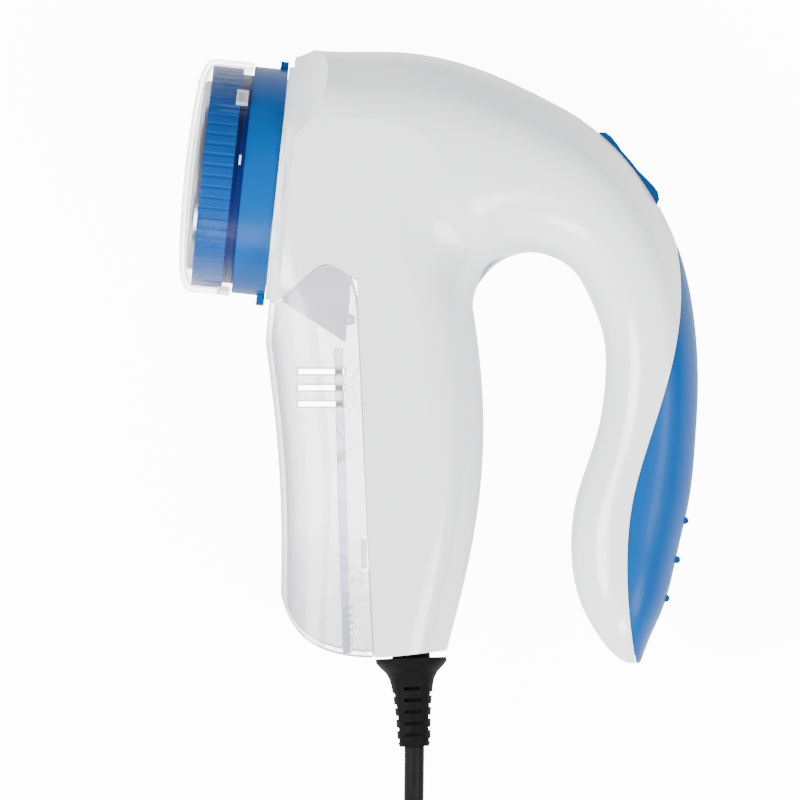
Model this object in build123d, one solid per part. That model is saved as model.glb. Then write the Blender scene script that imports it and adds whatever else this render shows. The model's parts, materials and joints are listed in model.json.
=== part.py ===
from build123d import *
import math
import os

os.makedirs("parts", exist_ok=True)

# Fabric shaver, lying on its side. Millimetres. While it is drawn, the origin is the middle of the
# collar's back edge, +X runs from the head towards the handle, +Y up the column and +Z out of the
# upper side. Everything moves to the middle of the footprint when it is written.

# Driving dimensions
half_depth = 32.0          # half of the body's depth, at the head and the column
flat_trim = 0.5            # how much the flat sides take off the hull
wall = 2.1                 # shell wall
grip_wall = 2.0            # soft cover's thickness
gap = 0.3                  # between parts that move
head_tilt = 6.0            # degrees that the head's axis rises
rim_r = 32.05              # front of the body
front_u = -1.4             # the body's front face, along the head's axis
front_chamfer = 2.0
rim_rise = 0.85            # the body's front circle sits this much above the head's axis
bezel_r = 30.4
collar_r = 29.6
band_r = 27.2              # neck band of the foil carrier
sleeve_r = 25.9            # back of the foil carrier
cup_r = 24.4               # lint chute's cup
ring_r = 28.7              # ribbed ring
cap_r = 30.5
cap_wall = 1.3
foil_r = 24.6
foil_sheet = 0.3
blade_r = 23.4
motor_r = 13.5
motor_front = -22.0        # along the head's axis
motor_back = -52.0
shaft_r = 1.15
bin_wall = 1.5
chute_x0 = 1.5             # the duct down into the bin
chute_x1 = 19.0
chute_half = 22.0
chute_wall = 1.4
cord_d = 5.2
seam_depth = 0.3           # groove along the parting of the two shells
seam_half = 0.15
ribs = 64                  # on the foil ring
relief_pitch = 3.0         # between the strain relief's slots
vents_at = (-49.0, -53.2, -57.4)
vent_x0 = 5.5              # vents in the bin's sides
vent_x1 = 17.5
vent_half = 0.65
grip_nubs = ((106.0, -87.7), (103.9, -97.9), (101.1, -107.9))
nub_r = 1.0
nub_half = 3.0
board_z = -12.0            # underside of the circuit board
board_posts = ((31.5, -43.5), (46.5, -75.0))
clamp_screws_at = (29.0, 41.0)
cap_tongues = (314.0, 194.0, 74.0)
side_z = half_depth - flat_trim
floor_z = -side_z          # the surface it lies on

# Stations of the body's bent hull, from the foot of the column round to the handle's tip:
# outer point x, y, inner point x, y, half depth as a share, squareness of the section
stations = [
    (1.0, -132.0, 41.5, -132.0, 0.985, 4.0),
    (1.0, -108.5, 47.5, -108.5, 1.0, 4.0),
    (1.0, -82.5, 52.5, -82.5, 1.0, 4.0),
    (-1.0, -56.5, 53.5, -56.5, 1.0, 4.0),
    (-4.0, -33.0, 51.0, -33.0, 1.0, 4.0),
    (-7.0, -25.5, 51.0, -30.6, 1.0, 3.9),
    (-11.5, -13.0, 51.7, -27.8, 1.0, 3.6),
    (-14.0, 12.0, 53.4, -25.0, 1.0, 3.2),
    (-9.5, 32.6, 55.6, -22.4, 1.0, 3.0),
    (12.5, 34.3, 58.3, -20.3, 1.0, 2.8),
    (32.0, 34.0, 61.0, -19.0, 0.97, 2.7),
    (50.0, 30.5, 64.5, -18.1, 0.92, 2.6),
    (68.5, 22.5, 69.5, -18.5, 0.845, 2.5),
    (83.5, 13.5, 75.0, -21.0, 0.765, 2.4),
    (98.5, -4.5, 80.0, -27.0, 0.67, 2.3),
    (106.5, -24.0, 84.0, -36.5, 0.595, 2.3),
    (109.5, -49.0, 85.5, -48.5, 0.545, 2.3),
    (109.0, -64.5, 83.5, -64.0, 0.515, 2.3),
    (107.0, -83.5, 77.5, -83.5, 0.50, 2.3),
    (104.5, -94.5, 76.5, -94.5, 0.50, 2.3),
    (100.0, -111.5, 80.0, -111.5, 0.47, 2.3),
    (97.5, -117.0, 83.5, -117.5, 0.39, 2.3),
    (95.5, -122.0, 87.0, -122.0, 0.265, 2.3),
    (94.3, -124.8, 91.2, -124.8, 0.12, 2.3),
]
section_points = 12
column_stations = 5        # the first of them are the column
tip_y = -124.8             # the handle's tip

# The head's frame: z out along the head's axis, x up the face, y into the lower side
tilt = math.radians(head_tilt)
head = Plane(
    origin=(0, 0, 0),
    x_dir=(math.sin(tilt), math.cos(tilt), 0),
    z_dir=(-math.cos(tilt), math.sin(tilt), 0),
)


def put(shape):
    """A shape drawn in the head's frame, put where the head is."""
    return head.location * shape


def tube(outer, inner, start, end):
    """A ring round the head's axis."""
    length = end - start
    ring = Pos(0, 0, start + length / 2) * Cylinder(outer, length)
    if inner > 0:
        ring -= Pos(0, 0, start + length / 2) * Cylinder(inner, length + 2)
    return put(ring)


def turned(points, rise=0.0):
    """A turned piece: its half section as radius, distance along the head's axis."""
    face = make_face(Polyline(*[(r, 0, u) for r, u in points], close=True))
    return put(Pos(rise, 0, 0) * revolve(face, Axis.Z))


def sector(outer, inner, start, end, middle, width):
    """A piece of a ring, from its middle angle and its width in degrees."""
    face = make_face(
        Polyline(
            (inner, 0, start), (outer, 0, start), (outer, 0, end), (inner, 0, end), close=True
        )
    )
    return put(Rot(0, 0, middle - width / 2) * revolve(face, Axis.Z, revolution_arc=width))


def slab(x0, x1, y0, y1, z0, z1):
    """A box from its limits."""
    return Pos((x0 + x1) / 2, (y0 + y1) / 2, (z0 + z1) / 2) * Box(x1 - x0, y1 - y0, z1 - z0)


def beyond(u):
    """Everything further out than u along the head's axis."""
    return put(Pos(0, 0, u + 100) * Box(400, 400, 200))


def upright(x, y, r, z0, z1):
    """A round post across the body."""
    return Pos(x, y, (z0 + z1) / 2) * Cylinder(r, z1 - z0)


def section(station, inset):
    """The upper half of one rounded-square section of the hull, with a skirt below the middle."""
    ox, oy, ix, iy, share, squareness = station
    outer = Vector(ox, oy, 0)
    inner = Vector(ix, iy, 0)
    middle = (outer + inner) * 0.5
    along = (outer - inner).normalized()
    reach = (outer - inner).length / 2 - inset
    depth = half_depth * share - inset
    power = 2.0 / squareness
    points = []
    for k in range(section_points + 1):
        angle = math.pi * k / section_points
        c = round(math.cos(angle), 9)
        rise = round(math.sin(angle), 9)
        across = reach * math.copysign(abs(c) ** power, c)
        points.append(middle + along * across + Vector(0, 0, depth * rise ** power))
    first = points[0]
    last = points[-1]
    down = Vector(0, 0, -3)
    return Wire(
        [
            Edge.make_spline(points, tangents=[(0, 0, 1), (0, 0, -1)]),
            Edge.make_line(last, last + down),
            Edge.make_line(last + down, first + down),
            Edge.make_line(first + down, first),
        ]
    )


def foot_cut(inset):
    """What lies below the column's rounded foot."""
    foot = Spline((0.2, -98), (1.9, -109.5), (7.2, -118), (16.5, -122.3), (25, -123.1), (46, -121.3))
    rest = Polyline((46, -121.3), (60, -121.3), (60, -150), (-40, -150), (-40, -98), (0.2, -98))
    face = make_face([foot, rest])
    return Pos(0, inset, -100) * extrude(face, 200)


def front_cut(inset):
    """What lies outside the head's front: round above its axis, a chamfer along the side below."""
    curve = Spline(
        (rim_r - inset, -1.0 - inset),
        (rim_r + 0.9 - inset, -3.2 - inset),
        (rim_r + 4.0 - inset, -8.0 - inset),
        (rim_r + 14 - inset, -13.0 - inset),
    )
    rest = Polyline(
        (rim_r + 14 - inset, -13.0 - inset), (rim_r + 30, -13.0 - inset),
        (rim_r + 30, 1.0), (rim_r - inset, 1.0), (rim_r - inset, -1.0 - inset),
    )
    face = Plane.XZ * make_face([curve, rest])
    ring = put(Pos(rim_rise, 0, 0) * revolve(face, Axis.Z))
    corner = make_face(
        Polyline(
            (front_u - inset - front_chamfer, side_z - inset), (front_u - inset - front_chamfer, side_z + 5),
            (front_u - inset + 5, side_z + 5), (front_u - inset + 5, side_z - inset - front_chamfer),
            (front_u - inset, side_z - inset - front_chamfer), close=True,
        )
    )
    edge = put(Pos(-60, 0, 0) * Rot(0, -90, 0) * Rot(0, 0, 180) * extrude(corner, -120))
    return (ring & put(Pos(50, 0, 0) * Box(100, 200, 200))) + edge


def hull(inset):
    """The upper half of the body and handle, drawn in by the inset."""
    shape = None
    for run in (stations[:column_stations], stations[column_stations - 1:]):
        loft = Solid.make_loft([section(s, inset) for s in run], False)
        if loft.volume < 0:
            loft = Solid(loft.wrapped.Reversed())
        part = loft & slab(-60, 160, -160, 80, 0, side_z - inset)
        shape = part if shape is None else shape + part
    shape -= foot_cut(inset)
    shape -= beyond(front_u - inset)
    shape -= front_cut(inset)
    if inset:
        shape -= slab(70, 130, -140, tip_y + inset, -1, 60)
    return shape


def both(shape):
    """The upper half with its mirror image, as one piece."""
    return shape + mirror(shape, about=Plane.XY)


def bin_region(grow):
    """The lint bin's outline seen from the side; grow moves the seam towards the shell."""
    corner = (1.0 - 0.4 * grow, -30.1 + grow)
    shoulder = (9.6 - 0.65 * grow, -22.7 + 0.75 * grow)
    arch_top = (13.6, -21.3 + grow)
    arch_side = (19.1 + 0.75 * grow, -24.4 + 0.65 * grow)
    arch_end = (21.2 + grow, -34.7)
    foot = (26.0 + grow, -140.0)
    seam = [
        Line((-2.0, -31.3 + grow), corner),
        Line(corner, shoulder),
        Spline(shoulder, arch_top, arch_side, arch_end, tangents=[(1, 0.85), (0.05, -1)]),
        Spline(
            arch_end, (22.7 + grow, -66.0), (23.7 + grow, -91.0), (25.3 + grow, -123.0), foot,
            tangents=[(0.05, -1), (0.05, -1)],
        ),
        Polyline(foot, (-40.0, -140.0), (-40.0, -31.3 + grow), (-2.0, -31.3 + grow)),
    ]
    return Pos(0, 0, -60) * extrude(make_face(seam), 120)


def grip_region(grow):
    """The soft cover's outline seen from the side; grow moves its edge towards the shell."""
    edge = Spline(
        (101.5 - grow, -8.0 + grow), (105.0 - grow, -24.0), (104.6 - grow, -37.0), (98.0 - grow, -63.5),
        (92.3 - grow, -84.0), (91.1 - grow, -100.0), (93.5 - grow, -125.0),
    )
    rest = Polyline(
        (93.5 - grow, -125.0), (94.0 - grow, -150.0), (140.0, -150.0), (140.0, -8.0 + grow),
        (101.5 - grow, -8.0 + grow),
    )
    return Pos(0, 0, -60) * extrude(make_face([edge, rest]), 120)


outer_hull = hull(0)
inner_hull = hull(wall)
cover_inner = hull(grip_wall)
step_outer = hull(grip_wall + 0.15)
step_inner = hull(grip_wall + wall)
fill = hull(wall / 2)      # ribs and posts run into the wall this far

# Sliding switch on the spine: its plates are arcs round one centre inside the loop
switch_x = 54.6
switch_y = -25.0
switch_r = 48.0
switch_from = 23.5         # degrees
switch_to = 52.5
switch_travel = 6.0
switch_half = 6.0


def arc_piece(outer, inner, start, end, half_width):
    """A piece of a ring round the switch's centre, across the body."""
    face = make_face(
        [
            CenterArc((0, 0), outer, start, end - start),
            Line(polar(outer, end), polar(inner, end)),
            CenterArc((0, 0), inner, start, end - start),
            Line(polar(inner, start), polar(outer, start)),
        ]
    )
    return Pos(switch_x, switch_y, -half_width) * extrude(face, 2 * half_width)


def polar(r, degrees):
    return (r * math.cos(math.radians(degrees)), r * math.sin(math.radians(degrees)))


# Case screws: x, y of each across the body
screws_at = [(33.0, 24.0), (72.0, 4.0), (39.0, -92.0), (96.5, -50.0), (87.0, -105.0)]
screw_r = 1.25
screw_head_r = 2.7
seat_z = -9.0              # where the screw heads sit
handle_seat_z = -7.0


def seat_of(x):
    return handle_seat_z if x > 80 else seat_z


def empty_shell():
    """The upper half's walls, with the steps under the bin and the soft cover."""
    skin = (outer_hull - inner_hull) - grip_region(0.15)
    skin -= (outer_hull - hull(seam_depth)) & slab(-60, 160, -160, 80, -1, seam_half)
    step = (step_outer - step_inner) & grip_region(0.15)
    lap = (inner_hull - step_inner) & (grip_region(2.5) - grip_region(0.1))
    walls = skin + step + lap
    walls -= bin_region(0)
    walls += (bin_region(1.8) - bin_region(0)) & fill
    walls -= slab(chute_x0 - gap, chute_x1 + gap, -40, -14, -1, chute_half + 0.4) & inner_hull
    collar_seat = tube(bezel_r, band_r + 0.6, -1.6, -0.15) + tube(band_r - 0.1, sleeve_r + gap, -3.0, 7.6)
    collar_seat += tube(band_r + 0.9, sleeve_r + gap, 6.6, 7.6)
    walls += collar_seat & slab(-80, 200, -200, 100, 0, 100)
    walls -= tube(sleeve_r + gap, 0, -6.0, 9.0)
    walls -= tube(cup_r + gap, 0, motor_front - gap, -2.0)
    return walls


def add_inside(walls, post_r):
    """Bosses, motor cradles and the floor of the switch's pocket."""
    room = fill - bin_region(0)
    for x, y in screws_at:
        walls += upright(x, y, post_r, 0, 60) & room
    for u in (-29.0, -45.0):
        rib = put(Pos(0, 0, u) * Box(36, 200, 1.6)) & room
        walls += rib - tube(motor_r + 0.05, 0, u - 3, u + 3)
    floor = arc_piece(switch_r - 1.8, switch_r - 3.6, switch_from - 4, switch_to + 10, switch_half + 3)
    walls += floor & room
    return walls


def cut_shell(walls):
    """The openings that both halves share: the switch's pocket and slot and the strain relief."""
    walls -= arc_piece(
        switch_r + 8, switch_r - 1.8, switch_from - 0.5, switch_to + switch_travel + 0.5, switch_half + 0.35
    )
    walls -= arc_piece(switch_r + 2, switch_r - 6, 31.5, 51.0, 1.9)
    walls -= relief_hole()
    return walls


def drill(walls, upper):
    """Screw pilots in the upper half; clearance holes and counterbores in the lower."""
    for x, y in screws_at:
        if upper:
            walls -= upright(x, y, screw_r, -1, 9.5)
        else:
            walls -= upright(x, y, screw_r + 0.25, -60, 1)
            walls -= upright(x, y, screw_head_r + 0.3, -60, seat_of(x))
    return walls


# Strain relief at the column's foot, its axis leaning a little towards the handle
relief_top = (34.7, -118.0)
relief_end = (35.75, -146.5)
relief_length = math.dist(relief_top, relief_end)
relief_frame = Plane(
    origin=(relief_top[0], relief_top[1], 0),
    x_dir=(1, 0, 0) if relief_top[0] == relief_end[0] else (
        (relief_top[1] - relief_end[1]) / relief_length, (relief_end[0] - relief_top[0]) / relief_length, 0
    ),
    z_dir=(
        (relief_end[0] - relief_top[0]) / relief_length, (relief_end[1] - relief_top[1]) / relief_length, 0
    ),
)


def relief_piece(points):
    """A turned piece on the strain relief's axis, as radius, distance down."""
    face = make_face(Polyline(*[(r, 0, d) for r, d in points], close=True))
    return relief_frame.location * revolve(face, Axis.Z)


def relief_hole():
    return relief_piece([(0, -1.0), (5.0, -1.0), (5.0, 8.0), (0, 8.0)])


shell_walls = empty_shell()


def make_left_shell():
    return drill(cut_shell(add_inside(shell_walls, 3.2)), True)


def make_right_shell():
    walls = mirror(cut_shell(add_inside(shell_walls, 4.2)), about=Plane.XY)
    room = mirror(fill, about=Plane.XY)
    for x, y in board_posts:
        walls += upright(x, y, 2.4, -60, board_z) & room
        walls -= upright(x, y, 1.0, board_z - 6, board_z + 1)
    walls += slab(27.0, 43.0, -111.0, -106.0, -60, -cord_d / 2) & room
    return drill(walls, False)


def make_grip_cover():
    cover = both((outer_hull - cover_inner) & grip_region(0))
    for x, y in grip_nubs:
        cover += upright(x, y, nub_r, -nub_half, nub_half)
    return cover


def make_lint_bin():
    region = bin_region(-gap)
    half = (outer_hull - hull(bin_wall)) & region
    back = make_face(Polyline((14.9, -43.0), (16.9, -43.0), (19.4, -122.0), (17.0, -122.0), close=True))
    half += extrude(back, 40) & hull(bin_wall / 2) & region
    for y in vents_at:
        half -= slab(vent_x0, vent_x1, y - vent_half, y + vent_half, side_z - 6, 40)
    half -= upright(19.0, -35.5, 1.3, side_z - 0.6, 40)
    half -= slab(22.2, 30.0, -100.5, -92.0, side_z - 4, 40)
    return both(half)


def make_lint_chute():
    cup = tube(cup_r, cup_r - 1.5, motor_front + 1.5, 10.0) + tube(cup_r, 4.6, motor_front, motor_front + 1.5)
    duct = slab(chute_x0, chute_x1, -46.0, -6.0, -chute_half, chute_half)
    below = Pos(0, 0, -60) * extrude(
        make_face(Polyline((-10.0, -23.35), (30.0, -49.35), (30.0, -80.0), (-10.0, -80.0), close=True)), 120
    )
    duct -= below
    duct &= tube(60, cup_r - 1.5, motor_front, 10.0)
    duct &= both(hull(wall + gap))
    cup += duct
    cup -= slab(
        chute_x0 + chute_wall, chute_x1 - chute_wall, -60.0, -12.0,
        -chute_half + chute_wall, chute_half - chute_wall,
    )
    for x, y in screws_at:
        cup -= upright(x, y, 4.6, -60, 60)
    for angle in (90, 270):
        cup -= put(Rot(0, 0, angle) * Pos(8.0, 0, motor_front) * Cylinder(1.4, 6))
    return cup


def make_motor_can():
    can = tube(motor_r, motor_r - 0.8, motor_back + 1.6, motor_front)
    can += tube(motor_r, 3.0, motor_front - 0.8, motor_front)
    can += tube(4.5, 3.0, motor_front - 0.4, motor_front + 2.2)
    for angle in (90, 270):
        can -= put(Rot(0, 0, angle) * Pos(8.0, 0, motor_front) * Cylinder(1.25, 6))
    return can


def make_motor_end_cap():
    cap = tube(motor_r, 3.0, motor_back, motor_back + 1.6) + tube(4.5, 3.0, motor_back - 2.0, motor_back + 0.2)
    cap += tube(motor_r - 0.85, motor_r - 2.0, motor_back + 1.4, motor_back + 3.4)
    for angle in (90, 270):
        cap -= put(Rot(0, 0, angle) * Pos(9.0, 0, motor_back) * Box(0.6, 2.4, 12))
    return cap


def make_motor_bushes():
    front = tube(3.0, shaft_r + 0.05, motor_front - 0.8, motor_front + 2.0)
    return front + tube(3.0, shaft_r + 0.05, motor_back - 2.0, motor_back + 1.4)


def make_motor_magnets():
    return sector(12.65, 10.2, -46.5, -26.5, 0, 130) + sector(12.65, 10.2, -46.5, -26.5, 180, 130)


def make_motor_brushes():
    pair = None
    for angle in (90, 270):
        blade = Pos(9.0, 0, motor_back) * Box(0.6, 2.4, 10) + Pos(6.4, 0, motor_back + 3.8) * Box(5.4, 2.0, 1.8)
        piece = put(Rot(0, 0, angle) * blade)
        pair = piece if pair is None else pair + piece
    return pair


def make_motor_screws():
    pair = None
    for angle in (90, 270):
        screw = Pos(8.0, 0, motor_front + 0.6) * Cylinder(1.25, 3.0) + Pos(8.0, 0, motor_front + 2.2) * (
            Cylinder(2.3, 1.4) - Pos(0, 0, 0.6) * Box(3.0, 0.6, 0.8)
        )
        piece = put(Rot(0, 0, angle) * screw)
        pair = piece if pair is None else pair + piece
    return pair


def make_motor_shaft():
    pin_hole = put(Pos(0, 0, 11.5) * Rot(90, 0, 0) * Cylinder(0.6, 20))
    return tube(shaft_r, 0, motor_back - 1.5, 16.5) - pin_hole


def make_armature():
    core = tube(9.7, shaft_r, -44.0, -28.0)
    for k in range(3):
        core -= put(Rot(0, 0, 60 + 120 * k) * Pos(7.5, 0, -36) * Box(8.0, 3.6, 20))
    return core


def make_windings():
    coils = None
    for k in range(3):
        coil = put(Rot(0, 0, 60 + 120 * k) * Pos(6.0, 0, -36) * Box(5.0, 3.4, 18.5))
        coils = coil if coils is None else coils + coil
    return coils


def make_commutator():
    return tube(3.4, shaft_r, -49.4, -45.6)


def make_fan():
    wheel = tube(20.0, shaft_r, 3.0, 4.2) + tube(5.0, shaft_r, 3.0, 9.2)
    for k in range(8):
        wheel += put(Rot(0, 0, 45 * k) * Pos(12.2, 0, 6.6) * Box(15.4, 1.0, 5.2))
    return wheel


def make_blade_hub():
    hub = tube(6.0, shaft_r, 9.5, 15.5) + tube(6.0, 0, 16.5, 18.4) + tube(6.0, shaft_r, 15.4, 16.6)
    for k in range(3):
        hub += put(Rot(0, 0, 120 * k) * Pos(13.5, 0, 17.0) * Box(18.0, 5.0, 2.8))
    hub -= put(Pos(0, 0, 11.5) * Rot(90, 0, 0) * Cylinder(0.6, 20))
    return hub


def make_drive_pin():
    return put(Pos(0, 0, 11.5) * Rot(90, 0, 0) * Cylinder(0.6, 11.4))


def make_blades():
    blades = None
    for k in range(3):
        blade = put(Rot(0, 0, 120 * k) * Pos(14.0, 0, 19.6) * Box(18.6, 0.6, 2.4))
        blades = blade if blades is None else blades + blade
    return blades


def make_adjusting_collar():
    collar = tube(collar_r, band_r + gap, 0.1, 8.8) - tube(band_r + 1.2, band_r, 6.3, 7.9)
    collar += sector(collar_r + 2.0, collar_r - 0.6, 0.1, 2.2, 0, 6)
    collar += sector(collar_r + 2.6, collar_r - 0.6, 0.1, 2.2, 180, 16)
    return collar


def make_foil_carrier():
    carrier = tube(sleeve_r, cup_r + gap, -1.0, 8.0) + tube(band_r, cup_r + gap, 8.0, 9.2)
    carrier += tube(band_r, cup_r + 1.2, 9.2, 16.5)
    for k in range(3):
        carrier += sector(band_r + 0.65, band_r - 0.5, 13.0, 14.2, 120 * k, 10)
    return carrier


def make_foil_ring():
    ring = tube(ring_r, band_r + gap, 11.5, 18.2) + tube(ring_r, 25.2, 18.2, 19.5)
    for k in range(3):
        ring -= sector(band_r + 0.95, band_r, 12.7, 14.5, 120 * k - 15, 42)
        ring -= sector(band_r + 0.95, band_r, 11.0, 14.5, 120 * k - 30, 12)
    grooves = None
    for k in range(ribs):
        groove = Rot(0, 0, 360 / ribs * k) * Pos(ring_r + 0.45, 0, 15.5) * Cylinder(0.7, 9)
        grooves = groove if grooves is None else grooves + groove
    return ring - put(grooves)


def make_foil():
    outer_line = [
        (27.3, 18.2), (foil_r, 18.2), (foil_r, 20.4), (24.2, 21.0), (23.4, 21.3), (18, 21.6), (10, 21.8),
    ]
    inner_line = [
        (10, 21.5), (18, 21.3), (23.2, 21.0), (23.9, 20.8), (24.3, 20.3), (24.3, 17.9), (27.3, 17.9),
    ]
    sheet = turned(outer_line + [(0, 21.9), (0, 21.6)] + inner_line)
    holes = None
    for r, count in ((4, 6), (8.5, 12), (13, 18), (17.5, 24), (21.5, 30)):
        for k in range(count):
            hole = Rot(0, 0, 360 * k / count) * Pos(r, 0, 21.5) * Cylinder(0.8, 3)
            holes = hole if holes is None else holes + hole
    return sheet - put(holes)


def make_foil_frame():
    return tube(band_r + gap, 25.0, 16.7, 17.9)


def make_clear_cap():
    outer_line = [
        (cap_r, 9.07), (cap_r, 18.9), (30.35, 19.9), (29.8, 20.8), (28.6, 21.7), (26.7, 22.5), (24.0, 23.05),
        (17.0, 23.7), (9.0, 24.05), (0, 24.2),
    ]
    inner_line = [
        (0, 22.9), (9.0, 22.75), (17.0, 22.4), (24.0, 21.75), (26.2, 21.25), (27.9, 20.6), (28.8, 19.9),
        (cap_r - cap_wall, 18.8), (cap_r - cap_wall, 11.2), (28.98, 10.9), (28.98, 10.2),
        (cap_r - cap_wall, 9.9), (cap_r - cap_wall, 9.07),
    ]
    cap = turned(outer_line + inner_line)
    for middle in cap_tongues:
        for side in (-7.4, 7.4):
            cap -= put(Rot(0, 0, middle + side) * Pos(cap_r, 0, 9.07 + 3.65) * Box(6, 1.5, 7.3))
    return cap


def make_switch_button():
    button = arc_piece(switch_r + 0.4, switch_r - 1.5, switch_from, switch_to, switch_half)
    upper_ridge = [(-1.0, 43.5), (0.4, 43.5), (0.8, 46.0), (1.2, 49.0), (1.1, 51.0), (0.2, 52.4), (-1.0, 52.4)]
    lower_ridge = [
        (-1.0, 36.0), (0.4, 36.0), (0.9, 33.0), (1.6, 29.5), (1.9, 27.0), (1.4, 24.8), (0.2, 23.6), (-1.0, 23.6),
    ]
    for ridge in (upper_ridge, lower_ridge):
        line = Polyline(*[polar(switch_r + rise, degrees) for rise, degrees in ridge], close=True)
        button += Pos(switch_x, switch_y, -switch_half) * extrude(make_face(line), 2 * switch_half)
    return button


def make_switch_lever():
    return arc_piece(switch_r - 1.5, 41.5, 34.5, 37.5, 1.2)


def make_switch_body():
    body = arc_piece(switch_r - 3.6, 36.0, 29.0, 53.0, 5.0) - arc_piece(45.5, 40.5, 32.5, 50.5, 1.7)
    for degrees in (34.0, 41.0, 48.0):
        body += arc_piece(36.4, 32.0, degrees - 1.4, degrees + 1.4, 0.5)
    return body


def make_circuit_board():
    board = slab(28.5, 49.0, -78.0, -40.5, board_z, board_z + 1.6)
    for x, y in board_posts:
        board -= upright(x, y, 1.2, board_z - 1, board_z + 3)
    return board


def make_board_screws():
    screws = None
    for x, y in board_posts:
        screw = upright(x, y, 1.0, board_z - 5, board_z + 1.6)
        screw += upright(x, y, 2.0, board_z + 1.6, board_z + 2.8)
        screws = screw if screws is None else screws + screw
    return screws


def make_board_components():
    top = board_z + 1.6
    parts = upright(41.0, -49.0, 4.5, top, top + 12)
    parts += slab(31.0, 37.0, -62.0, -52.0, top, top + 4.5)
    parts += slab(40.0, 47.0, -68.0, -57.0, top, top + 8)
    parts += Pos(34.0, -69.0, top + 1.3) * Rot(0, 90, 0) * Cylinder(1.3, 7)
    parts += Pos(34.0, -73.5, top + 1.3) * Rot(0, 90, 0) * Cylinder(1.3, 7)
    return parts


def wire_along(points, r):
    """A lead: straight runs with round joints."""
    lead = None
    for before, after in zip(points, points[1:]):
        start = Vector(*before)
        run = Vector(*after) - start
        rod = Plane(origin=start, z_dir=run).location * (Pos(0, 0, run.length / 2) * Cylinder(r, run.length))
        lead = rod if lead is None else lead + rod
    for point in points[1:-1]:
        lead += Pos(*point) * Sphere(r)
    return lead


def make_lead_wires():
    leads = None
    for z, x, y in ((-14.6, 39.0, -42.5), (14.6, 36.0, -42.5)):
        end_z = math.copysign(9.6, z)
        lead = wire_along([(x, y, board_z + 1.6), (x, y, -6), (44, -36, z), (45.5, -27, z), (52, -16.5, z),
                           (60, -9, z * 0.8), (60.2, -6.3, end_z)], 0.6)
        leads = lead if leads is None else leads + lead
    leads += wire_along([(45, -42.5, board_z + 1.6), (45, -42.5, -8), (46, -38, -9), (46.5, -27.5, -12.2),
                         (54, -16, -12.2), (64, -10, -12), (76, -10, -7), (80.2, -7.6, -1.2)], 0.6)
    leads += wire_along([(33, -76, board_z + 1.6), (33, -76, -4), (34, -90, 4), (33.6, -98, 1.1),
                         (33.9, -100.9, 1.1)], 0.6)
    leads += wire_along([(37, -76, board_z + 1.6), (37, -76, -6), (33.0, -90, -4), (34.2, -98, -1.2),
                         (34.2, -100.9, -1.2)], 0.6)
    return leads


def make_cord_clamp():
    bar = slab(27.0, 43.0, -111.0, -106.0, 1.6, 5.0)
    bar -= relief_piece([(0, -20), (cord_d / 2, -20), (cord_d / 2, 0), (0, 0)])
    for x in clamp_screws_at:
        bar -= upright(x, -108.5, 1.2, -10, 10)
    return bar


def make_clamp_screws():
    screws = None
    for x in clamp_screws_at:
        screw = upright(x, -108.5, 1.2, -cord_d / 2, 5.0) + upright(x, -108.5, 2.1, 5.0, 6.4)
        screws = screw if screws is None else screws + screw
    return screws


def make_case_screws():
    screws = None
    for x, y in screws_at:
        seat = seat_of(x)
        screw = upright(x, y, screw_r, seat, 9.0) + upright(x, y, screw_head_r, seat - 2, seat)
        screw -= slab(x - 1.8, x + 1.8, y - 0.35, y + 0.35, seat - 3, seat - 1.1)
        screw -= slab(x - 0.35, x + 0.35, y - 1.8, y + 1.8, seat - 3, seat - 1.1)
        screws = screw if screws is None else screws + screw
    return screws


def make_strain_relief():
    bore = cord_d / 2
    sleeve = relief_piece(
        [
            (bore, -1.6), (7.2, -1.6), (7.2, 0.8), (4.95, 0.8), (4.95, 5.5), (9.3, 5.5), (9.2, 6.6), (8.2, 7.8),
            (6.8, 9.2), (5.9, 10.8), (5.5, 12.4), (5.1, 15.0), (4.6, 20.0), (4.3, 27.2), (3.8, relief_length),
            (bore, relief_length),
        ]
    )
    for k in range(5):
        d = 13.4 + relief_pitch * k
        for side in (-1, 1):
            sleeve -= relief_frame.location * Pos(0, side * 5.0, d) * Box(4.4, 3.0, 0.9)
            sleeve -= relief_frame.location * Pos(side * 5.4, 0, d + relief_pitch / 2) * Box(3.0, 4.4, 0.9)
    return sleeve


def make_cord_inside():
    return relief_piece([(0, -17.0), (cord_d / 2, -17.0), (cord_d / 2, relief_length), (0, relief_length)])


# The free cord: out of the relief, down to the surface and into the coil, then on to the plug
lying_z = floor_z + cord_d / 2
cord_route = [
    (relief_end[0], relief_end[1], 0.0),
    (35.6, -164.5, -1.0),
    (35.0, -187.0, -18.5),
    (33.6, -208.0, lying_z),
    (34.5, -235.0, lying_z),
    (31.2, -261.0, lying_z),
]
coil_mid_r = 28.6          # 11 cord diameters across at the middle of the turns
coil_rows = 3
coil_x = cord_route[-1][0] + coil_mid_r + cord_d
coil_y = cord_route[-1][1]
coil_top_z = lying_z + (coil_rows - 1) * cord_d
plug_z = floor_z + 6.9
tail_route = [
    (coil_x + coil_mid_r + cord_d, coil_y, coil_top_z),
    (coil_x + coil_mid_r + cord_d + 0.8, coil_y + 18.8, coil_top_z - 1.8),
    (coil_x + coil_mid_r + cord_d + 0.4, coil_y + 37.0, plug_z),
]


def cord_tube(route, name):
    """A round cord of straight runs joined by tangent arcs, as large as the runs allow."""
    points = [Vector(*p) for p in route]
    radii = []
    for before, at, after in zip(points, points[1:], points[2:]):
        coming = at - before
        going = after - at
        turn = math.acos(coming.normalized().dot(going.normalized()))
        radii.append(round(0.45 * min(coming.length, going.length) / math.tan(turn / 2), 1))
    print(name, "arc radii", radii)
    path = FilletPolyline(*points, radius=radii)
    start = Plane(origin=path @ 0, z_dir=path % 0)
    solid = sweep(start * Circle(cord_d / 2), path=path)
    straight = path.length * math.pi * cord_d ** 2 / 4
    print(name, "length", round(path.length, 1), "volume ratio", round(solid.volume / straight, 4))
    return solid


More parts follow.
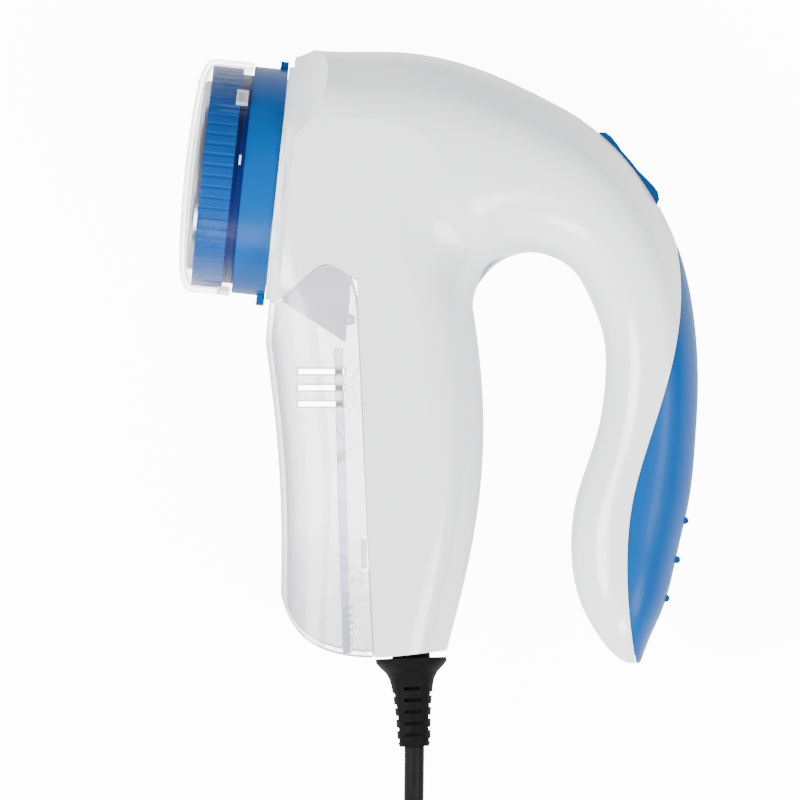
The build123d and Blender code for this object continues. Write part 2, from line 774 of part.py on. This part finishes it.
def make_cord_coil():
    inner = coil_mid_r - cord_d * coil_rows / 2
    outer = coil_mid_r + cord_d * coil_rows / 2
    height = cord_d * coil_rows
    ring = Cylinder(outer, height) - Cylinder(inner, height + 2)
    ring = fillet(ring.edges().filter_by(GeomType.CIRCLE), 2.2)
    ring = Pos(coil_x, coil_y, floor_z + height / 2) * ring
    return ring - parts["power_cord"] - parts["cord_tail"] - parts["cord_tie"]


def make_cord_tie():
    height = cord_d * coil_rows
    band = Box(cord_d * coil_rows + 1.6, 8.0, height + 0.8) - Box(cord_d * coil_rows + 0.2, 9.0, height - 0.8)
    return Pos(coil_x, coil_y + coil_mid_r, floor_z + height / 2 + 0.4) * Rot(0, 0, 90) * band


def plug_place(shape):
    """A shape drawn along +X from the plug's neck, put where the plug lies."""
    ax, ay, az = tail_route[-2]
    bx, by, bz = tail_route[-1]
    turn = math.degrees(math.atan2(by - ay, bx - ax))
    return Pos(bx, by, bz) * Rot(0, 0, turn) * shape


def make_plug_body():
    neck = Pos(6.0, 0, 0) * Rot(0, 90, 0) * Cone(3.4, 4.6, 12.0)
    block = Pos(24.0, 0, 0) * Box(24.0, 22.0, 13.6)
    block = fillet(block.edges().filter_by(Axis.X), 4.0)
    nose = Pos(39.0, 0, 0) * Box(6.0, 25.0, 13.6)
    nose = fillet(nose.edges().filter_by(Axis.X), 4.0)
    body = neck + block + nose
    for y in (-9.3, 9.3):
        body -= Pos(40.0, y, 0) * Rot(0, 90, 0) * Cylinder(2.0, 8.0)
    return plug_place(body)


def make_plug_pins():
    pins = None
    for y in (-9.3, 9.3):
        pin = Pos(45.5, y, 0) * Rot(0, 90, 0) * Cylinder(2.0, 19.0)
        pins = pin if pins is None else pins + pin
    return plug_place(pins)


makers = {
    "left_shell": make_left_shell,
    "right_shell": make_right_shell,
    "grip_cover": make_grip_cover,
    "lint_bin": make_lint_bin,
    "lint_chute": make_lint_chute,
    "motor_can": make_motor_can,
    "motor_end_cap": make_motor_end_cap,
    "motor_bushes": make_motor_bushes,
    "motor_magnets": make_motor_magnets,
    "motor_brushes": make_motor_brushes,
    "motor_screws": make_motor_screws,
    "motor_shaft": make_motor_shaft,
    "armature": make_armature,
    "windings": make_windings,
    "commutator": make_commutator,
    "fan": make_fan,
    "blade_hub": make_blade_hub,
    "drive_pin": make_drive_pin,
    "blades": make_blades,
    "adjusting_collar": make_adjusting_collar,
    "foil_carrier": make_foil_carrier,
    "foil_ring": make_foil_ring,
    "foil": make_foil,
    "foil_frame": make_foil_frame,
    "clear_cap": make_clear_cap,
    "switch_button": make_switch_button,
    "switch_lever": make_switch_lever,
    "switch_body": make_switch_body,
    "circuit_board": make_circuit_board,
    "board_screws": make_board_screws,
    "board_components": make_board_components,
    "lead_wires": make_lead_wires,
    "cord_clamp": make_cord_clamp,
    "clamp_screws": make_clamp_screws,
    "case_screws": make_case_screws,
    "strain_relief": make_strain_relief,
    "cord_inside": make_cord_inside,
    "power_cord": lambda: cord_tube(cord_route, "power_cord"),
    "cord_tail": lambda: cord_tube(tail_route, "cord_tail"),
    "cord_tie": make_cord_tie,
    "cord_coil": make_cord_coil,
    "plug_body": make_plug_body,
    "plug_pins": make_plug_pins,
}
cord_nodes = ["power_cord", "cord_tail", "cord_tie", "cord_coil", "plug_body", "plug_pins"]

parts = {}
for name, make in makers.items():
    parts[name] = make()
    print(name, parts[name].is_valid, round(parts[name].volume, 1), len(parts[name].solids()))

# The origin: the middle of the footprint, on the surface, measured without the free cord
boxes = [shape.bounding_box(optimal=True) for name, shape in parts.items() if name not in cord_nodes]
low_x = min(b.min.X for b in boxes)
high_x = max(b.max.X for b in boxes)
low_y = min(b.min.Y for b in boxes)
high_y = max(b.max.Y for b in boxes)
low_z = min(b.min.Z for b in boxes)
shift = (-(low_x + high_x) / 2, -(low_y + high_y) / 2, -low_z)
print("size", round(high_x - low_x, 2), round(high_y - low_y, 2), "shift", [round(v, 3) for v in shift])

for name, shape in parts.items():
    export_step(Pos(*shift) * shape, f"parts/{name}.step")
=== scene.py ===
import json
import math
import bpy
from mathutils import Matrix, Vector


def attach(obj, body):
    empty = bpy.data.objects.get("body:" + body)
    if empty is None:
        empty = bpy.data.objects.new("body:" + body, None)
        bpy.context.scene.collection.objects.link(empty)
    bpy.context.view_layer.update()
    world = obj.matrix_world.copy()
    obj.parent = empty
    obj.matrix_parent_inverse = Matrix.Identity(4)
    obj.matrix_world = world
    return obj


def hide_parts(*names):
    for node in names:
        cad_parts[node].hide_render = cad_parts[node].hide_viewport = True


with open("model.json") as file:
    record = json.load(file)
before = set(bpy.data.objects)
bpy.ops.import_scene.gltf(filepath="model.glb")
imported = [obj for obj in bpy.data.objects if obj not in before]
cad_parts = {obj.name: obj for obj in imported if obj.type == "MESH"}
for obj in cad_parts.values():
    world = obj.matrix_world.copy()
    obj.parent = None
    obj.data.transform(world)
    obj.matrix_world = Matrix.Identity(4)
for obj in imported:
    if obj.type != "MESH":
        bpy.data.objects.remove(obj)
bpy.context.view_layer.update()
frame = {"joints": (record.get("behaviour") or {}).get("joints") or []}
mm = 0.001

joints = {j["name"]: j for j in frame["joints"]}
headAt = Vector(joints["rotor_spin"]["pos_m"])      # middle of the collar's back edge
headOut = Vector(joints["rotor_spin"]["axis"])      # the way the foil faces


def place(x, y, z=0.0):  # a point given in millimetres from the collar's back edge
    return headAt + Vector((x, y, z)) * mm


# straight down from far above with a long lens
cameraView = {"field": 0.208, "height": 8.0, "middle": (32.0, -56.4), "sensor": 36, "far": 20}
eye = place(*cameraView["middle"])
lens = bpy.data.cameras.new("camera")
lens.sensor_width = cameraView["sensor"]
lens.lens = cameraView["sensor"] * (cameraView["height"] - headAt.z) / cameraView["field"]
lens.clip_end = cameraView["far"]
camera = bpy.data.objects.new("camera", lens)
camera.location = (eye.x, eye.y, cameraView["height"])
bpy.context.scene.collection.objects.link(camera)
bpy.context.scene.camera = camera


# the cord: out of the relief, down to the surface, round the coil and on to the plug
mainsCord = {
    "diameter": 0.0052,
    "length": 1.68,
    "coil": 28.6,           # radius of the coil's middle winding
    "turns": 8.5,
    "pointsPerTurn": 16,
    "crossing": 0.65,       # share of a turn after which the cord moves to the next winding
    "plugHeight": 6.9,
    # turns in winding order, as rows out from the middle and layers up
    "windings": [(1, 0), (0, 0), (-1, 0), (-1, 1), (-1, 2), (0, 2), (0, 1), (1, 1), (1, 2)],
}
cordDiameter = mainsCord["diameter"]
lyingZ = cordDiameter / 2


def onSurface(x, y):  # the same place, with the cord lying on the surface
    at = place(x, y)
    return Vector((at.x, at.y, lyingZ))


reliefEnd = place(35.75, -146.5)
cordRoute = [
    reliefEnd,
    place(35.6, -164.5, -1.0),
    place(35.0, -187.0, -18.5),
    onSurface(33.6, -208.0),
    onSurface(34.5, -235.0),
    onSurface(31.2, -261.0),
]
coilAt = Vector((cordRoute[-1].x + mainsCord["coil"] * mm + cordDiameter, cordRoute[-1].y, 0))


def windingAt(turn):  # radius and height of the winding after this many turns
    windings = mainsCord["windings"]
    at = min(int(turn), len(windings) - 1)
    after = min(at + 1, len(windings) - 1)
    part = min(max((turn - at - mainsCord["crossing"]) / (1 - mainsCord["crossing"]), 0), 1)
    row = windings[at][0] * (1 - part) + windings[after][0] * part
    layer = windings[at][1] * (1 - part) + windings[after][1] * part
    return mainsCord["coil"] * mm + row * cordDiameter, lyingZ + layer * cordDiameter


coilPoints = []
for step in range(1, int(mainsCord["turns"] * mainsCord["pointsPerTurn"]) + 1):
    turn = step / mainsCord["pointsPerTurn"]
    radius, height = windingAt(turn)
    angle = math.pi + 2 * math.pi * turn
    coilPoints.append(coilAt + Vector((radius * math.cos(angle), radius * math.sin(angle), height)))
coilEnd = coilPoints[-1]
tailRoute = [
    coilEnd + Vector((0.8, 18.8, -1.8)) * mm,
    Vector((coilEnd.x + 0.4 * mm, coilEnd.y + 37.0 * mm, mainsCord["plugHeight"] * mm)),
]


def drawTube(name, points, radius, rings):  # a round tube along the points, as a curve
    curve = bpy.data.curves.new(name, "CURVE")
    curve.dimensions = "3D"
    curve.bevel_depth = radius
    curve.bevel_resolution = rings
    spline = curve.splines.new("NURBS")
    spline.points.add(len(points) - 1)
    for point, at in zip(spline.points, points):
        point.co = (*at, 1)
    spline.order_u = 3
    spline.use_endpoint_u = True
    piece = bpy.data.objects.new(name, curve)
    bpy.context.scene.collection.objects.link(piece)
    return piece


def makeCord():
    cord = drawTube("mains_cord", cordRoute + coilPoints + tailRoute, cordDiameter / 2, 6)
    cord.data.resolution_u = 4
    dress([cord.name], cordBlack)
    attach(cord, "body")
    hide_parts("power_cord", "cord_coil", "cord_tail")


print("camera and cord's route")


# adds a Math node for the values, each a Value or a number
def maths(tree, operation, *values):
    node = tree.nodes.new("ShaderNodeMath")
    node.operation = operation
    for entry, value in zip(node.inputs, values):
        wire(tree, entry, value)
    return Value(tree, node.outputs[0])


# links a value to a socket, or sets the socket to a constant
def wire(tree, entry, value):
    if isinstance(value, Value):
        tree.links.new(value.socket, entry)
    else:
        entry.default_value = value


# a socket in a material, with arithmetic
class Value:
    def __init__(self, tree, socket):
        self.tree = tree
        self.socket = socket

    def __add__(self, other):
        return maths(self.tree, "ADD", self, other)

    def __radd__(self, other):
        return maths(self.tree, "ADD", other, self)

    def __sub__(self, other):
        return maths(self.tree, "SUBTRACT", self, other)

    def __rsub__(self, other):
        return maths(self.tree, "SUBTRACT", other, self)

    def __mul__(self, other):
        return maths(self.tree, "MULTIPLY", self, other)

    def __rmul__(self, other):
        return maths(self.tree, "MULTIPLY", other, self)

    def __truediv__(self, other):
        return maths(self.tree, "DIVIDE", self, other)

    def __rtruediv__(self, other):
        return maths(self.tree, "DIVIDE", other, self)

    def clamped(self):
        return maths(self.tree, "MINIMUM", maths(self.tree, "MAXIMUM", self, 0.0), 1.0)

    def above(self, edge):
        return maths(self.tree, "GREATER_THAN", self, edge)


# a Principled material and the nodes that feed it
class Finish:
    def __init__(self, name, colour, roughness):
        self.material = bpy.data.materials.new(name)
        self.material.use_nodes = True
        self.tree = self.material.node_tree
        self.shader = self.tree.nodes["Principled BSDF"]
        self.set("Base Color", (*colour, 1))
        self.set("Roughness", roughness)

    def set(self, entry, value):
        wire(self.tree, self.shader.inputs[entry], value)

    # any node: its settings, its inputs by name, and the output wanted
    def node(self, kind, inputs=(), output=0, **settings):
        node = self.tree.nodes.new(kind)
        for key, value in settings.items():
            setattr(node, key, value)
        for key, value in dict(inputs).items():
            wire(self.tree, node.inputs[key], value)
        return Value(self.tree, node.outputs[output])

    def where(self):
        return self.node("ShaderNodeTexCoord", output="Object")

    # one coordinate of the piece, in metres
    def axis(self, letter):
        return self.node("ShaderNodeSeparateXYZ", {"Vector": self.where()}, output=letter)

    # a colour between two colours
    def mix(self, factor, first, second):
        node = self.tree.nodes.new("ShaderNodeMix")
        node.data_type = "RGBA"
        for entry, value in zip((0, 6, 7), (factor, first, second)):
            wire(self.tree, node.inputs[entry], value)
        return Value(self.tree, node.outputs[2])

    # noise on the piece's own coordinates, around 0.5
    def noise(self, scale, detail=3.0, roughness=0.5):
        return self.node("ShaderNodeTexNoise", {"Vector": self.where(), "Scale": scale, "Detail": detail,
                                                "Roughness": roughness}, output="Fac")

    # a colour ramp: stops as position, colour
    def ramp(self, value, stops):
        node = self.tree.nodes.new("ShaderNodeValToRGB")
        ramp = node.color_ramp
        while len(ramp.elements) < len(stops):
            ramp.elements.new(0.5)
        for element, (at, colour) in zip(ramp.elements, stops):
            element.position = at
            element.color = (*colour, 1)
        wire(self.tree, node.inputs["Fac"], value)
        return Value(self.tree, node.outputs["Color"])

    # the base colour, a little lighter and darker from place to place
    def tone(self, colour, spread, scale):
        dark = tuple(c * (1 - spread) for c in colour)
        light = tuple(min(c * (1 + spread), 1) for c in colour)
        self.set("Base Color", self.ramp(self.noise(scale), [(0.35, dark), (0.65, light)]))

    def bump(self, height, strength, distance):
        self.set("Normal", self.node("ShaderNodeBump", {"Height": height, "Strength": strength,
                                                        "Distance": distance}, output="Normal"))


# moulded plastic: slight tone changes, a fine moulded grain and faint scuffs
def plastic(name, colour, roughness=0.3, coat=0.3, spread=0.03, grain=0.06):
    finish = Finish(name, colour, roughness)
    finish.tone(colour, spread, 40.0)
    scuff = finish.noise(260.0, 5.0, 0.7)
    finish.set("Roughness", scuff * 0.16 + (roughness - 0.08))
    finish.set("Coat Weight", coat)
    finish.set("Coat Roughness", 0.12)
    finish.bump(finish.noise(2400.0, 2.0), grain, 0.00005)
    return finish


# clear moulded plastic: seen through face on, grey and nearly solid edge on
def clear(name, face, side, alpha, edgeAlpha, roughness=0.05):
    finish = Finish(name, side, roughness)
    edge = finish.node("ShaderNodeLayerWeight", {"Blend": 0.3}, output="Facing")
    haze = finish.noise(90.0, 4.0)
    finish.colour = finish.ramp(edge, [(0.0, face), (0.45, side)])
    finish.set("Base Color", finish.colour)
    finish.alpha = edge * edge * edgeAlpha + (haze * 0.03 + (alpha - 0.015))
    finish.set("Alpha", finish.alpha)
    finish.set("Roughness", haze * 0.08 + roughness)
    finish.set("Coat Weight", 0.4)
    finish.bump(finish.noise(500.0, 2.0), 0.03, 0.0001)
    return finish


# drawn metal: fine streaks in its roughness and tone
def metal(name, colour, roughness=0.3, streaks=600.0):
    finish = Finish(name, colour, roughness)
    finish.set("Metallic", 1.0)
    finish.tone(colour, 0.08, 120.0)
    finish.set("Roughness", finish.noise(streaks, 4.0) * 0.2 + (roughness - 0.1))
    finish.bump(finish.noise(1800.0, 3.0), 0.05, 0.00005)
    return finish


def rubber(name, colour, roughness=0.55):
    finish = Finish(name, colour, roughness)
    finish.tone(colour, 0.15, 150.0)
    finish.set("Roughness", finish.noise(300.0, 4.0) * 0.2 + (roughness - 0.1))
    finish.bump(finish.noise(1600.0, 4.0), 0.12, 0.0001)
    return finish


# give pieces or CAD nodes a material
def dress(names, finish):
    for name in names:
        piece = bpy.data.objects[name]
        piece.data.materials.clear()
        piece.data.materials.append(finish.material)


white = plastic("white_shell", (0.83, 0.84, 0.86), 0.2, 0.4, 0.01)
blue = plastic("blue_grip", (0.0, 0.062, 0.24), 0.38, 0.04)
collarBlue = plastic("blue_collar", (0.0, 0.060, 0.23), 0.36, 0.03)
bandBlue = plastic("dark_blue_band", (0.0, 0.010, 0.12), 0.4, 0.02)
ringBlue = plastic("blue_ring", (0.0, 0.050, 0.22), 0.4, 0.03)
switchBlue = plastic("blue_switch", (0.0, 0.06, 0.24), 0.4, 0.04)
markWhite = plastic("mark_white", (0.85, 0.85, 0.85), 0.5, 0.0)
capClear = clear("clear_cap", (0.06, 0.10, 0.18), (0.36, 0.38, 0.44), 0.012, 0.85)
binClear = clear("clear_bin", (0.68, 0.68, 0.73), (0.40, 0.40, 0.45), 0.33, 0.80, 0.08)
windowClear = clear("clear_window", (0.75, 0.77, 0.82), (0.55, 0.57, 0.63), 0.4, 0.8)
# the bin's back wall is looked through lengthways, so its plastic is deeper there; towards its foot the bin is simply
# made more opaque, so darker
binTint = {"left": 14.9, "width": 2.1, "lean": -0.029, "top": -43.0, "foot": -122.0, "shade": (0.34, 0.33, 0.45, 1),
           "wallAlpha": 0.5, "footFrom": -88.0, "footSlope": 0.028, "footAlpha": 0.22}


def tintBin():
    across = (binClear.axis("X") - headAt.x) / mm
    along = (binClear.axis("Y") - headAt.y) / mm
    left = (along - binTint["top"]) * binTint["lean"] + binTint["left"]
    inWall = (across - left).above(0.0) * (left + binTint["width"] - across).above(0.0)
    inWall = inWall * (binTint["top"] - along).above(0.0) * (along - binTint["foot"]).above(0.0)
    # more opaque, so darker, towards the bin's foot
    atFoot = ((binTint["footFrom"] - along) * binTint["footSlope"]).clamped()
    binClear.set("Alpha", (binClear.alpha + inWall * binTint["wallAlpha"] + atFoot * binTint["footAlpha"]).clamped())
    binClear.set("Base Color", binClear.mix(inWall, binClear.colour, binTint["shade"]))


tintBin()
chuteWhite = plastic("chute_white", (0.80, 0.80, 0.83), 0.5, 0.0)
steel = metal("steel", (0.60, 0.61, 0.63), 0.28)
foilSteel = metal("foil_steel", (0.42, 0.43, 0.46), 0.22, 900.0)
iron = metal("iron", (0.16, 0.16, 0.17), 0.5)
brass = metal("brass", (0.66, 0.47, 0.18), 0.3)
copper = metal("copper", (0.62, 0.26, 0.12), 0.35)
blackPlastic = plastic("black_plastic", (0.012, 0.012, 0.013), 0.45, 0.0, 0.1, 0.15)
boardGreen = plastic("board_green", (0.01, 0.10, 0.03), 0.4, 0.2, 0.1)
wireRed = plastic("wire_red", (0.30, 0.01, 0.01), 0.4, 0.0)
reliefBlack = rubber("relief_black", (0.002, 0.002, 0.0022), 0.6)
cordBlack = rubber("cord_black", (0.005, 0.005, 0.0055), 0.5)
plugBlack = plastic("plug_black", (0.004, 0.004, 0.0045), 0.5, 0.0, 0.1, 0.2)
chrome = metal("chrome", (0.80, 0.80, 0.80), 0.12)
for finish in (blue, collarBlue, bandBlue, ringBlue, switchBlue):
    finish.set("Specular IOR Level", 0.09)
for finish in (reliefBlack, cordBlack, plugBlack):
    finish.set("Specular IOR Level", 0.06)

dress(["left_shell", "right_shell"], white)
dress(["grip_cover"], blue)
dress(["adjusting_collar"], collarBlue)
dress(["foil_carrier"], bandBlue)
dress(["foil_ring"], ringBlue)
dress(["switch_button", "switch_lever"], switchBlue)
dress(["clear_cap"], capClear)
dress(["lint_bin"], binClear)
dress(["lint_chute", "fan", "blade_hub"], chuteWhite)
dress(["foil_frame", "blades", "motor_can", "motor_shaft", "drive_pin", "motor_screws", "board_screws",
       "clamp_screws", "case_screws"], steel)
dress(["foil"], foilSteel)
dress(["motor_magnets", "armature"], iron)
dress(["motor_bushes", "motor_brushes", "commutator"], brass)
dress(["windings"], copper)
dress(["motor_end_cap", "switch_body", "board_components", "cord_clamp"], blackPlastic)
dress(["circuit_board"], boardGreen)
dress(["lead_wires"], wireRed)
dress(["strain_relief"], reliefBlack)
dress(["cord_inside", "cord_tie"], cordBlack)
dress(["plug_body"], plugBlack)
dress(["plug_pins"], chrome)
print("materials")


# the head's frame: x up the face, y into the lower side, z out along the axis
faceUp = Vector((headOut.y, -headOut.x, 0))
headFrame = Matrix.Translation(headAt) @ Matrix((faceUp, headOut.cross(faceUp), headOut)).transposed().to_4x4()


# round the head's axis: local x outwards, y round it, z along it
def onHead(angle, radius, along):
    return headFrame @ Matrix.Rotation(math.radians(angle), 4, "Z") @ Matrix.Translation((radius * mm, 0, along * mm))


# a cube of this size in millimetres, alone in the selection
def startCube(name, size):
    bpy.ops.object.select_all(action="DESELECT")
    bpy.ops.mesh.primitive_cube_add(size=1)
    piece = bpy.context.object
    piece.name = name
    piece.scale = Vector(size) * mm
    bpy.ops.object.transform_apply(location=False, rotation=False, scale=True)
    return piece


# edit mode, with only the faces selected whose middle and normal pass the test
def pick(piece, test):
    bpy.ops.object.mode_set(mode="EDIT")
    bpy.ops.mesh.select_mode(type="FACE")
    bpy.ops.mesh.select_all(action="DESELECT")
    bpy.ops.object.mode_set(mode="OBJECT")
    for face in piece.data.polygons:
        face.select = test(face.center, face.normal)
    bpy.ops.object.mode_set(mode="EDIT")


# insets the picked face and pushes it in
def hollow(piece, test, rim, depth):
    pick(piece, test)
    bpy.ops.mesh.inset(thickness=rim * mm, depth=0)
    bpy.ops.mesh.inset(thickness=0.05 * mm, depth=-depth * mm)
    bpy.ops.object.mode_set(mode="OBJECT")


# rounds the sharp edges with a Bevel, then applies it
def soften(piece, width, segments=2):
    modifier = piece.modifiers.new("round", "BEVEL")
    modifier.width = width * mm
    modifier.segments = segments
    modifier.limit_method = "ANGLE"
    bpy.ops.object.modifier_apply(modifier=modifier.name)


# puts the piece where it belongs, with its place in its mesh, and onto its body
def settle(piece, at, body, finish):
    bpy.ops.object.select_all(action="DESELECT")
    piece.select_set(True)
    bpy.context.view_layer.objects.active = piece
    piece.matrix_world = at
    bpy.ops.object.transform_apply(location=True, rotation=True, scale=True)
    bpy.ops.object.shade_smooth_by_angle(angle=math.radians(35))
    dress([piece.name], finish)
    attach(piece, body)


restingIn = 0.23  # the lower side's pieces sit this much deeper, clear of the surface


# on one of the flat sides: local z outwards
def sideways(x, y, z, upper, turn=0.0):
    spin = Matrix.Rotation(math.radians(turn), 4, "Z")
    if upper:
        return Matrix.Translation(place(x, y, z)) @ spin
    return Matrix.Translation(place(x, y, restingIn - z)) @ spin @ Matrix.Rotation(math.pi, 4, "X")


# the cap's three snap windows
snapWindow = {"angles": (314.0, 194.0, 74.0), "radius": 30.15, "along": 11.1, "size": (1.1, 4.9, 3.1), "rim": 0.6}
for number, angle in enumerate(snapWindow["angles"]):
    window = startCube(f"snap_window_{number + 1}", snapWindow["size"])
    hollow(window, lambda middle, normal: normal.x > 0.5, snapWindow["rim"], 0.55)
    soften(window, 0.15)
    settle(window, onHead(angle, snapWindow["radius"], snapWindow["along"]), "cap", windowClear)

# a small white spot on the cap, drawn in at both ends
whiteSpot = {"angle": 279.0, "radius": 30.52, "along": 10.0, "size": (0.16, 2.6, 2.0), "end": 0.25}
mark = startCube("white_spot", whiteSpot["size"])
for end in (1, -1):
    pick(mark, lambda middle, normal: normal.y * end > 0.5)
    bpy.ops.transform.resize(value=(1, 1, whiteSpot["end"]))
bpy.ops.object.mode_set(mode="OBJECT")
soften(mark, 0.05)
settle(mark, onHead(whiteSpot["angle"], whiteSpot["radius"], whiteSpot["along"]), "cap", markWhite)

# the lip behind the bin's seam
seamLip = {
    "line": ((1.5, -29.7), (9.5, -22.8), (13.5, -21.4), (17.1, -22.6), (19.3, -25.0), (20.8, -30.0), (21.2, -35.0),
             (22.0, -51.0), (22.8, -68.0), (23.8, -92.0), (24.8, -115.0), (25.3, -122.6)),
    "radius": 0.32,
    "depth": 30.3,
}
seamBump = {"rows": (-48.5, -53.0, -57.5), "x": 22.9, "depth": 30.9, "radius": 0.75}
ventFrame = {"rows": (-49.0, -53.2, -57.4), "middle": 11.5, "size": (12.8, 2.1, 1.0), "depth": 31.25, "rim": 0.32}
detent = {"at": (19.0, -35.5), "depth": 30.65, "radius": 1.35, "flatter": 0.55}
latch = {"at": (22.75, -96.3), "depth": 30.85, "size": (1.5, 8.0, 1.6), "rim": 0.35, "lean": 1.5}
footRib = {"x": 18.4, "first": -110.5, "pitch": 1.9, "count": 6, "depth": 26.0, "size": (3.0, 0.55, 5.0), "lean": 8.0}


# a ball of this radius in millimetres, alone in the selection
def startBall(name, radius, segments):
    bpy.ops.object.select_all(action="DESELECT")
    bpy.ops.mesh.primitive_uv_sphere_add(segments=segments, ring_count=segments // 2, radius=radius * mm)
    piece = bpy.context.object
    piece.name = name
    return piece


def makeSeamLip(side, upper):
    depth = seamLip["depth"] if upper else -seamLip["depth"]
    line = [place(x, y, depth) for x, y in seamLip["line"]]
    lip = drawTube(f"seam_lip_{side}", line, seamLip["radius"] * mm, 2)
    lip.data.use_fill_caps = True
    dress([lip.name], chuteWhite)
    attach(lip, "body")


def makeSeamBumps(side, upper):
    for number, y in enumerate(seamBump["rows"]):
        bump = startBall(f"seam_bump_{side}_{number + 1}", seamBump["radius"], 20)
        settle(bump, sideways(seamBump["x"], y, seamBump["depth"], upper), "body", white)


def makeVentFrames(side, upper):
    for number, y in enumerate(ventFrame["rows"]):
        vent = startCube(f"vent_frame_{side}_{number + 1}", ventFrame["size"])
        pick(vent, lambda middle, normal: abs(normal.z) > 0.5)
        bpy.ops.mesh.inset(thickness=ventFrame["rim"] * mm, depth=0)
        bpy.ops.mesh.bridge_edge_loops()
        bpy.ops.object.mode_set(mode="OBJECT")
        soften(vent, 0.08)
        at = sideways(ventFrame["middle"], y, ventFrame["depth"], upper)
        settle(vent, at, "bin", windowClear)


def makeDetent(side, upper):
    dimple = startBall(f"detent_{side}", detent["radius"], 28)
    pick(dimple, lambda middle, normal: middle.z > 0.1 * mm)
    bpy.ops.transform.resize(value=(1, 1, detent["flatter"]))
    bpy.ops.object.mode_set(mode="OBJECT")
    settle(dimple, sideways(*detent["at"], detent["depth"], upper), "bin", windowClear)


def makeLatch(side, upper):
    catch = startCube(f"latch_{side}", latch["size"])
    hollow(catch, lambda middle, normal: normal.z > 0.5, latch["rim"], 0.6)
    soften(catch, 0.12)
    settle(catch, sideways(*latch["at"], latch["depth"], upper, latch["lean"]), "bin", windowClear)


# small ribs at the foot of the bin's back wall
def makeFootRibs(side, upper):
    for number in range(footRib["count"]):
        rib = startCube(f"foot_rib_{side}_{number + 1}", footRib["size"])
        soften(rib, 0.12)
        y = footRib["first"] - footRib["pitch"] * number
        at = sideways(footRib["x"], y, footRib["depth"], upper, footRib["lean"])
        settle(rib, at, "bin", windowClear)


for side, upper in (("left", True), ("right", False)):
    makeSeamLip(side, upper)
    makeSeamBumps(side, upper)
    makeVentFrames(side, upper)
    makeDetent(side, upper)
    makeLatch(side, upper)
    makeFootRibs(side, upper)
makeCord()
print("small parts and cord")


# the floor shines only where the camera looks at it, so it's a plain pale ground that barely lights the object
ground = {"size": 12, "cells": 4, "seen": 11.0, "glow": 0.22}
softboxes = {
    "softbox_left": {"at": (-1.1, -0.1, 1.1), "size": 0.9, "power": 50},
    "softbox_right": {"at": (1.0, -0.6, 1.2), "size": 0.9, "power": 42},
    "softbox_low": {"at": (-0.1, -1.3, 0.9), "size": 0.7, "power": 22},
}
studio = {"colour": (0.92, 0.94, 1.0, 1), "strength": 0.33}


def makeFloor():
    bpy.ops.object.select_all(action="DESELECT")
    cells = ground["cells"]
    bpy.ops.mesh.primitive_grid_add(x_subdivisions=cells, y_subdivisions=cells, size=ground["size"])
    floor = bpy.context.object
    floor.name = "floor"
    floorPaint = Finish("floor_paint", (0.9, 0.9, 0.9), 0.9)
    seen = floorPaint.node("ShaderNodeLightPath", output="Is Camera Ray")
    floorPaint.set("Emission Color", (1, 1, 1, 1))
    floorPaint.set("Emission Strength", seen * ground["seen"] + ground["glow"])
    dress(["floor"], floorPaint)


# a round softbox that faces the object
def makeLight(name, at, size, power):
    lamp = bpy.data.lights.new(name, "AREA")
    lamp.shape = "DISK"
    lamp.size = size
    lamp.energy = power
    light = bpy.data.objects.new(name, lamp)
    light.location = at
    light.rotation_euler = Vector(at).to_track_quat("Z", "Y").to_euler()
    bpy.context.scene.collection.objects.link(light)


makeFloor()
for name, box in softboxes.items():
    makeLight(name, **box)
world = bpy.data.worlds.new("studio")
world.use_nodes = True
world.node_tree.nodes["Background"].inputs["Color"].default_value = studio["colour"]
world.node_tree.nodes["Background"].inputs["Strength"].default_value = studio["strength"]
bpy.context.scene.world = world
print("floor and light")
